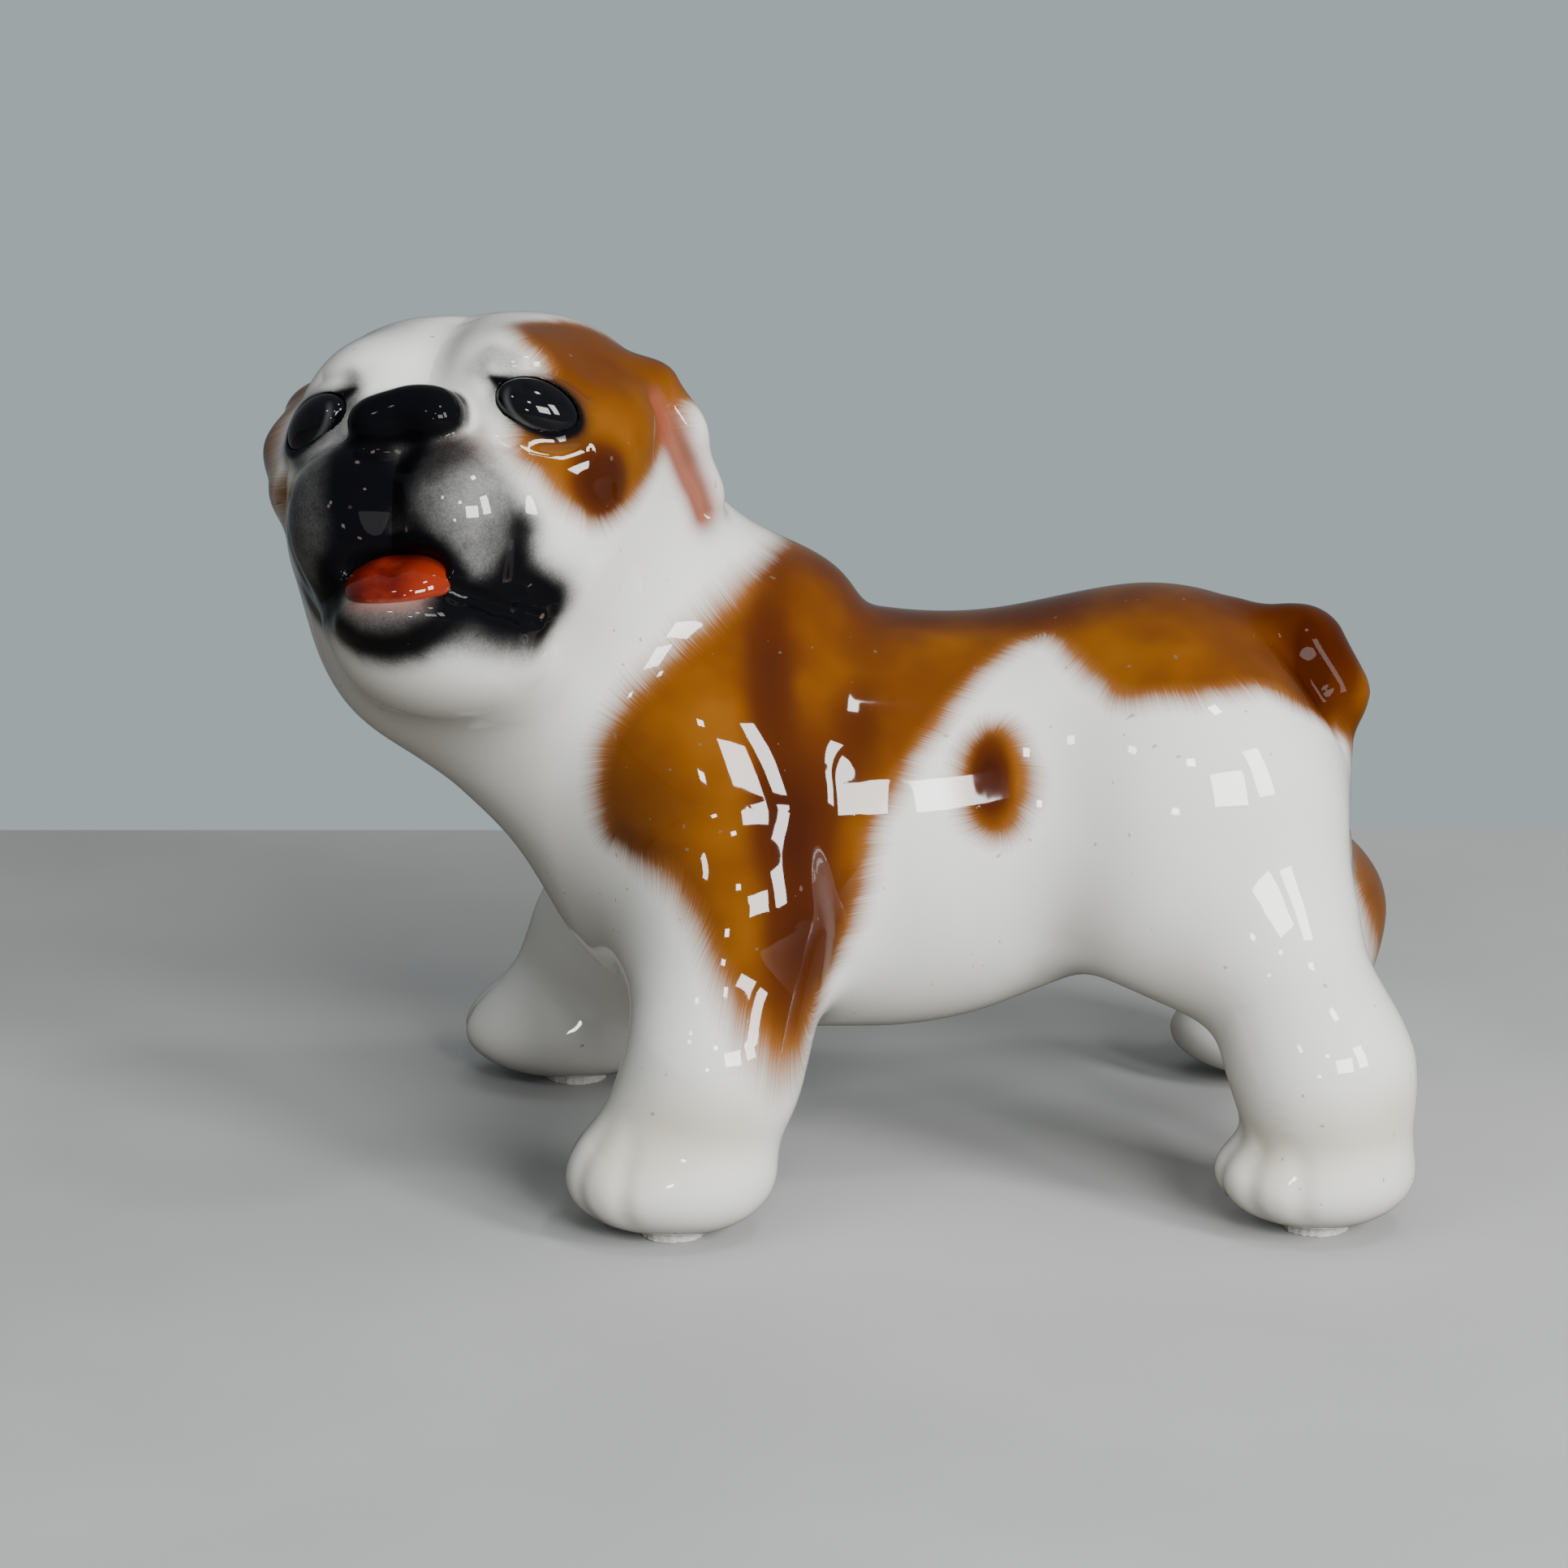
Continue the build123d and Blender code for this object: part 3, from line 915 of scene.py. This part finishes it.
class Nodes:
    """Short words for building a node material."""

    def __init__(self, name):
        self.material = bpy.data.materials.new(name)
        self.material.use_nodes = True
        self.tree = self.material.node_tree
        self.shader = self.tree.nodes["Principled BSDF"]
        self.place = self.make("ShaderNodeTexCoord").outputs["Object"]

    def make(self, kind, **settings):
        node = self.tree.nodes.new(kind)
        for key, value in settings.items():
            setattr(node, key, value)
        return node

    def put(self, socket, value):
        if isinstance(value, bpy.types.NodeSocket):
            self.tree.links.new(value, socket)
        else:
            socket.default_value = value

    def attribute(self, name, output="Fac"):
        return self.make("ShaderNodeAttribute", attribute_name=name).outputs[output]

    def maths(self, operation, first, second):
        node = self.make("ShaderNodeMath", operation=operation)
        for socket, value in zip(node.inputs, (first, second)):
            self.put(socket, value)
        return node.outputs[0]

    def ramp(self, value, start, end, low=0.0, high=1.0):
        """A smooth step from low to high as value goes from start to end."""
        node = self.make("ShaderNodeMapRange", interpolation_type="SMOOTHSTEP")
        for key, number in (("Value", value), ("From Min", start), ("From Max", end),
                            ("To Min", low), ("To Max", high)):
            self.put(node.inputs[key], number)
        return node.outputs["Result"]

    def noise(self, scale, detail, vector=None, roughness=0.5):
        node = self.make("ShaderNodeTexNoise")
        self.put(node.inputs["Vector"], self.place if vector is None else vector)
        for key, number in (("Scale", scale), ("Detail", detail), ("Roughness", roughness)):
            self.put(node.inputs[key], number)
        return node.outputs["Fac"]

    def mix(self, factor, first, second):
        node = self.make("ShaderNodeMix", data_type="RGBA")
        self.put(node.inputs["Factor"], factor)
        for socket, value in ((node.inputs[6], first), (node.inputs[7], second)):
            self.put(socket, tuple(value) + (1,) if isinstance(value, tuple) else value)
        return node.outputs[2]

    def bump(self, height, strength, distance):
        node = self.make("ShaderNodeBump")
        for key, value in (("Height", height), ("Strength", strength), ("Distance", distance)):
            self.put(node.inputs[key], value)
        return node.outputs["Normal"]

    def finish(self, **inputs):
        for key, value in inputs.items():
            self.put(self.shader.inputs[key.replace("_", " ").title().replace("Ior", "IOR")], value)
        return self.material


WHITE, CREAM = (0.76, 0.76, 0.735), (0.70, 0.69, 0.63)
TAN_EDGE, TAN_LIGHT, TAN = (0.26, 0.105, 0.028), (0.205, 0.068, 0.0038), (0.120, 0.033, 0.0018)
TAN_DEEP, TAN_DARK = (0.066, 0.0135, 0.0010), (0.032, 0.0045, 0.0007)
# On the next line, the last colour is the pale grey of a reflection painted low on each eye.
BLACK, BLACK_SHEEN, PAINTED_REFLECTION_GREY = (0.003, 0.003, 0.004), (0.006, 0.006, 0.009), (0.22, 0.23, 0.23)
SPECK = (0.16, 0.12, 0.09)
FELT_SHADE, FELT_LIGHT, FELT_DIRT = (0.50, 0.49, 0.46), (0.80, 0.79, 0.76), (0.40, 0.39, 0.36)
FLOOR_DARK, FLOOR_LIGHT, FLOOR_BOUNCE = (0.40, 0.41, 0.405), (0.45, 0.46, 0.455), (0.17, 0.16, 0.135)
PINK, YELLOW = (0.24, 0.062, 0.030), (0.60, 0.53, 0.36)
RED, RED_ORANGE, RED_PALE_WITH_REFLECTION = (0.100, 0.0045, 0.002), (0.24, 0.022, 0.006), (0.42, 0.13, 0.085)
GLAZE_IOR, FULL_SHINE, INK_SHINE, EYE_SHINE = 1.5, 0.5, 0.08, 0.3
# How fast sprayed black covers: the colour left is (1 - ink) to this power.
INK_DENSITY = 2.2


def glaze_finish(kit, colour, shine=FULL_SHINE):
    """A poured glaze over the colour: glossy, with faint ripples, pinholes and uneven shine."""
    ripple = kit.noise(70, 2)
    pin = kit.ramp(kit.noise(900, 1), 0.80, 0.84)
    height = kit.maths("SUBTRACT", ripple, kit.maths("MULTIPLY", pin, 0.25))
    normal = kit.bump(height, 0.12, 0.0006)
    gloss = kit.ramp(kit.noise(45, 3), 0.35, 0.7, 0.025, 0.055)
    return kit.finish(base_color=colour, roughness=gloss, normal=normal, ior=GLAZE_IOR,
                      specular_ior_level=shine)


def painted_glaze():
    """White glaze, brushed tan patches with hair strokes, and sprayed black and pink; some of the darker
    tan and grey is painted shade in creases.
    """
    kit = Nodes("painted_glaze")
    depth = kit.attribute("patch_depth")
    edge = kit.attribute("patch_edge", "Vector")
    shade = kit.attribute("patch_shade")
    sweep = kit.maths("SUBTRACT", kit.noise(0.10, 1, edge), 0.5)
    hair = kit.maths("SUBTRACT", kit.noise(2.6, 3, edge, 0.8), 0.5)
    ragged = kit.maths("ADD", depth, kit.maths("MULTIPLY", sweep, 4.0))
    ragged = kit.maths("ADD", ragged, kit.maths("MULTIPLY", hair, 7.0))
    amount = kit.ramp(ragged, -4.2, 4.8)
    middle = kit.ramp(kit.maths("ADD", depth, kit.maths("MULTIPLY", hair, 6.0)), 0.0, 8.0)
    cloud = kit.noise(22, 3)
    tone = kit.mix(kit.ramp(cloud, 0.30, 0.62), TAN_LIGHT, TAN)
    tone = kit.mix(middle, TAN_EDGE, tone)
    dark = kit.maths("ADD", shade, kit.maths("MULTIPLY", kit.maths("SUBTRACT", cloud, 0.5), 0.6))
    # patch_shade darkens the tan: mostly brushed darker tan, partly painted shade in the crease by the
    # tail.
    tone = kit.mix(kit.ramp(dark, 0.12, 0.70), tone, TAN_DEEP)
    tone = kit.mix(kit.ramp(dark, 0.60, 1.15, 0.0, 0.9), tone, TAN_DARK)
    haze = kit.noise(16, 2)
    white = kit.mix(kit.ramp(haze, 0.4, 0.75, 0.0, 0.5), WHITE, CREAM)
    white = kit.mix(kit.attribute("warm"), white, YELLOW)
    base = kit.mix(amount, white, tone)
    base = kit.mix(kit.attribute("blush"), base, PINK)
    ink = kit.attribute("ink")
    grain = kit.maths("SUBTRACT", kit.noise(1500, 1), 0.5)
    mottle = kit.maths("SUBTRACT", kit.noise(260, 3), 0.5)
    half = kit.maths("MULTIPLY", ink, kit.maths("SUBTRACT", 1.0, ink))
    grit = kit.maths("MULTIPLY", half, kit.maths("ADD", kit.maths("MULTIPLY", grain, 0.8),
                                                kit.maths("MULTIPLY", mottle, 0.7)))
    clear = kit.maths("SUBTRACT", 1.0, kit.maths("ADD", ink, grit))
    clear = kit.maths("POWER", kit.maths("MAXIMUM", clear, 0.0), INK_DENSITY)
    base = kit.mix(clear, BLACK, base)
    speck = kit.ramp(kit.noise(420, 0), 0.845, 0.86, 0.0, 0.5)
    base = kit.mix(speck, base, SPECK)
    shine = kit.ramp(clear, 0.0, 0.25, INK_SHINE, FULL_SHINE)
    open_glaze = kit.maths("SUBTRACT", 1.0, kit.attribute("dull"))
    return glaze_finish(kit, base, kit.maths("MULTIPLY", shine, open_glaze))


def eye_glaze():
    """Black, with a faint pale grey reflection painted low on the eye."""
    kit = Nodes("eye_glaze")
    colour = kit.mix(kit.ramp(kit.noise(240, 3), 0.35, 0.7, 0.0, 0.6), BLACK, BLACK_SHEEN)
    colour = kit.mix(kit.attribute("painted_reflection"), colour, PAINTED_REFLECTION_GREY)
    return glaze_finish(kit, colour, EYE_SHINE)


def tongue_glaze():
    """Streaky red, more orange on one side and pale at the drooping front, where the pale is partly a
    lighter tip and partly a painted reflection.
    """
    kit = Nodes("tongue_glaze")
    streak = kit.noise(160, 3)
    colour = kit.mix(kit.ramp(streak, 0.35, 0.75, 0.0, 0.6), RED, RED_ORANGE)
    colour = kit.mix(kit.attribute("side"), colour, RED_ORANGE)
    # Paler at the drooping front: partly a lighter red tip, partly a painted pale reflection.
    colour = kit.mix(kit.ramp(kit.attribute("front"), 0.2, 1.0), colour, RED_PALE_WITH_REFLECTION)
    return glaze_finish(kit, colour)


def felt():
    """Matt white wool felt, a little grubby."""
    kit = Nodes("felt")
    fibre = kit.noise(1400, 5, roughness=0.7)
    clump = kit.noise(380, 3)
    colour = kit.mix(kit.ramp(fibre, 0.3, 0.75), FELT_SHADE, FELT_LIGHT)
    colour = kit.mix(kit.ramp(clump, 0.55, 0.8, 0.0, 0.35), colour, FELT_DIRT)
    height = kit.maths("ADD", kit.maths("MULTIPLY", fibre, 0.6), clump)
    return kit.finish(base_color=colour, roughness=0.95, normal=kit.bump(height, 0.9, 0.0006),
                      sheen_weight=0.3)


# ---- pieces

# How far past a CAD node's box its visible piece is looked for, in millimetres.
BODY_ROOM, HEAD_ROOM, GROWN_ROOM, EYE_ROOM, TONGUE_ROOM, PAD_ROOM = 24, 12, 26, 5, 6, 2
BELOW_SOLE = -2.0
ROOT_DEPTH = 4.0


def dress(obj, material, node):
    obj.data.materials.append(material)
    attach(obj, "root")
    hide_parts(node)
    return obj


def grown_box(node, margin):
    """A CAD node's box in the sculpt frame, with room all round."""
    low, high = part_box(node)
    return (np.array(low) / MM - SHIFT - margin, np.array(high) / MM - SHIFT + margin)


def shell(name, node, keep_head, voxel, material):
    """The body or the head, cut from the carcass at the neck join."""
    low, high = grown_box(node, HEAD_ROOM if keep_head else BODY_ROOM)
    low[2] = max(low[2], BELOW_SOLE)
    points, quads = isosurface(carcass, low, high, voxel)
    obj = new_object(name, points, quads)
    cut_at_join(obj, keep_head)
    shade(obj, carcass)
    paint(obj, keep_head)
    return dress(obj, material, node)


def grown_part(name, node, part, blend, material, on_head):
    """An ear or the tail, blended into the carcass round its root."""
    field, surface = attached(part, blend, ROOT_DEPTH)
    low, high = grown_box(node, GROWN_ROOM)
    points, quads = isosurface(field, low, high, GROWN_VOXEL)
    obj = new_object(name, points, quads)
    shade(obj, surface, field)
    paint(obj, on_head)
    return dress(obj, material, node)


def make_eye(name, material):
    field = eye(name)
    low, high = grown_box("eye_" + name, EYE_ROOM)
    points, quads = isosurface(field, low, high, SMALL_VOXEL)
    obj = new_object("glazed_eye_" + name, points, quads)
    shade(obj, field)
    local = eye_local(one_eye(mesh_points(obj), name))
    # A painted reflection: a faint pale grey arc along the lower rim of the eye.
    size = np.hypot(local[:, 1] / EYE_RADII[1], local[:, 2] / EYE_RADII[2])
    low_side = np.clip((-local[:, 2] - local[:, 1] * 0.3) / 4 - 0.4, 0, 1)
    ring = np.clip(1 - np.abs(size - 0.83) / 0.09, 0, 1)
    give(obj, "painted_reflection", ring * low_side * 0.25)
    return dress(obj, material, "eye_" + name)


def make_tongue(material):
    low, high = grown_box("tongue", TONGUE_ROOM)
    points, quads = isosurface(tongue, low, high, SMALL_VOXEL)
    obj = new_object("glazed_tongue", points, quads)
    shade(obj, tongue)
    head = to_head(mesh_points(obj))
    give(obj, "front", np.clip((-47.5 - head[:, 2]) / 5.0, 0, 1))
    give(obj, "side", np.clip((head[:, 1] - 2.0) / 10.0, 0, 0.8))
    return dress(obj, material, "tongue")


def make_pad(name, material):
    field = foot_pad(name)
    low, high = grown_box("foot_pad_" + name, PAD_ROOM)
    points, quads = isosurface(field, low, high, SMALL_VOXEL)
    obj = new_object("felt_pad_" + name, points, quads)
    shade(obj, field)
    return dress(obj, material, "foot_pad_" + name)


# ---- stage, light and camera

MIDDLE = Vector(((CAD_BOX[0] + CAD_BOX[1]) / 2))
FLOOR_REACH, FLOOR_BEHIND = 2.2, 0.39


def make_floor():
    """A pale table; only the camera sees its full brightness, so that it lights the glaze softly."""
    mesh = bpy.data.meshes.new("floor")
    corners = [(-FLOOR_REACH, -FLOOR_REACH, 0), (FLOOR_REACH, -FLOOR_REACH, 0),
               (FLOOR_REACH, FLOOR_BEHIND, 0), (-FLOOR_REACH, FLOOR_BEHIND, 0)]
    mesh.from_pydata(corners, [], [(0, 1, 2, 3)])
    floor = bpy.data.objects.new("floor", mesh)
    bpy.context.scene.collection.objects.link(floor)
    kit = Nodes("floor_cloth")
    tone = kit.mix(kit.ramp(kit.noise(6, 3), 0.3, 0.7), FLOOR_DARK, FLOOR_LIGHT)
    seen = kit.make("ShaderNodeLightPath").outputs["Is Camera Ray"]
    tone = kit.mix(seen, FLOOR_BOUNCE, tone)
    mesh.materials.append(kit.finish(base_color=tone, roughness=0.85))


def softbox(name, azimuth, elevation, width, height, power, distance=2.0):
    """A studio light aimed at the figurine; azimuth is from the camera's side towards +x."""
    a, e = math.radians(azimuth), math.radians(elevation)
    away = Vector((math.sin(a) * math.cos(e), -math.cos(a) * math.cos(e), math.sin(e)))
    light = bpy.data.lights.new(name, "AREA")
    light.shape, light.size, light.size_y = "RECTANGLE", width, height
    light.energy = power
    obj = bpy.data.objects.new(name, light)
    obj.location = MIDDLE + away * distance
    obj.rotation_euler = (-away).to_track_quat("-Z", "Y").to_euler()
    bpy.context.scene.collection.objects.link(obj)
    return obj


ROOM_SEEN = (0.38, 0.45, 0.46)
ROOM_MIRRORED, ROOM_LIGHT = (0.16, 0.18, 0.19), (0.11, 0.12, 0.125)


def make_room():
    """A grey-blue room, with its own tones for the camera, for mirror images and for its light."""
    world = bpy.data.worlds.new("studio")
    bpy.context.scene.world = world
    world.use_nodes = True
    tree = world.node_tree
    path = tree.nodes.new("ShaderNodeLightPath")
    colour = tree.nodes.new("ShaderNodeMix")
    mirrored_or_lit = tree.nodes.new("ShaderNodeMix")
    for mix in (colour, mirrored_or_lit):
        mix.data_type = "RGBA"
    mirrored_or_lit.inputs[6].default_value = ROOM_LIGHT + (1,)
    mirrored_or_lit.inputs[7].default_value = ROOM_MIRRORED + (1,)
    colour.inputs[7].default_value = ROOM_SEEN + (1,)
    tree.links.new(path.outputs["Is Glossy Ray"], mirrored_or_lit.inputs["Factor"])
    tree.links.new(path.outputs["Is Camera Ray"], colour.inputs["Factor"])
    tree.links.new(mirrored_or_lit.outputs[2], colour.inputs[6])
    tree.links.new(colour.outputs[2], tree.nodes["Background"].inputs["Color"])


def make_lights():
    softbox("window_wide", 24, 19, 0.70, 0.56, 40)
    softbox("window_side", 48, 25, 0.40, 0.80, 32)
    softbox("lamp_low", -8, 8, 0.15, 0.12, 2.5)
    softbox("lamp_front", 2, 33, 0.16, 0.14, 3)
    softbox("lamp_left", -38, 36, 0.16, 0.14, 2)
    softbox("lamp_high", 44, 64, 0.22, 0.2, 5)
    ceiling = softbox("ceiling", 0, 82, 1.6, 1.6, 12, 2.2)
    ceiling.visible_glossy = False


CAMERA_DISTANCE_BACK, CAMERA_HEIGHT, CAMERA_PITCH = 1.2975, 0.4375, math.radians(14)
SENSOR, FOCAL, CLIP = 36.0, 103.42, (0.01, 50)


def make_camera():
    data = bpy.data.cameras.new("camera")
    data.sensor_width, data.lens = SENSOR, FOCAL
    data.clip_start, data.clip_end = CLIP
    camera = bpy.data.objects.new("camera", data)
    camera.location = (SHIFT[0] * MM, SHIFT[1] * MM - CAMERA_DISTANCE_BACK, CAMERA_HEIGHT)
    camera.rotation_euler = (math.pi / 2 - CAMERA_PITCH, 0, 0)
    bpy.context.scene.collection.objects.link(camera)
    bpy.context.scene.camera = camera


# ---- build

glaze = painted_glaze()
eye_material = eye_glaze()
pad_material = felt()

shell("glazed_body", "body_shell", False, BODY_VOXEL, glaze)
shell("glazed_head", "head_shell", True, HEAD_VOXEL, glaze)
for side_name in ("left", "right"):
    grown_part("glazed_ear_" + side_name, "ear_" + side_name, lambda p, s=side_name: ear(p, s),
               EAR_BLEND, glaze, True)
    make_eye(side_name, eye_material)
grown_part("glazed_tail", "tail", tail, TAIL_BLEND, glaze, False)
make_tongue(tongue_glaze())
for foot_name in FEET:
    make_pad(foot_name, pad_material)

make_floor()
make_room()
make_lights()
make_camera()
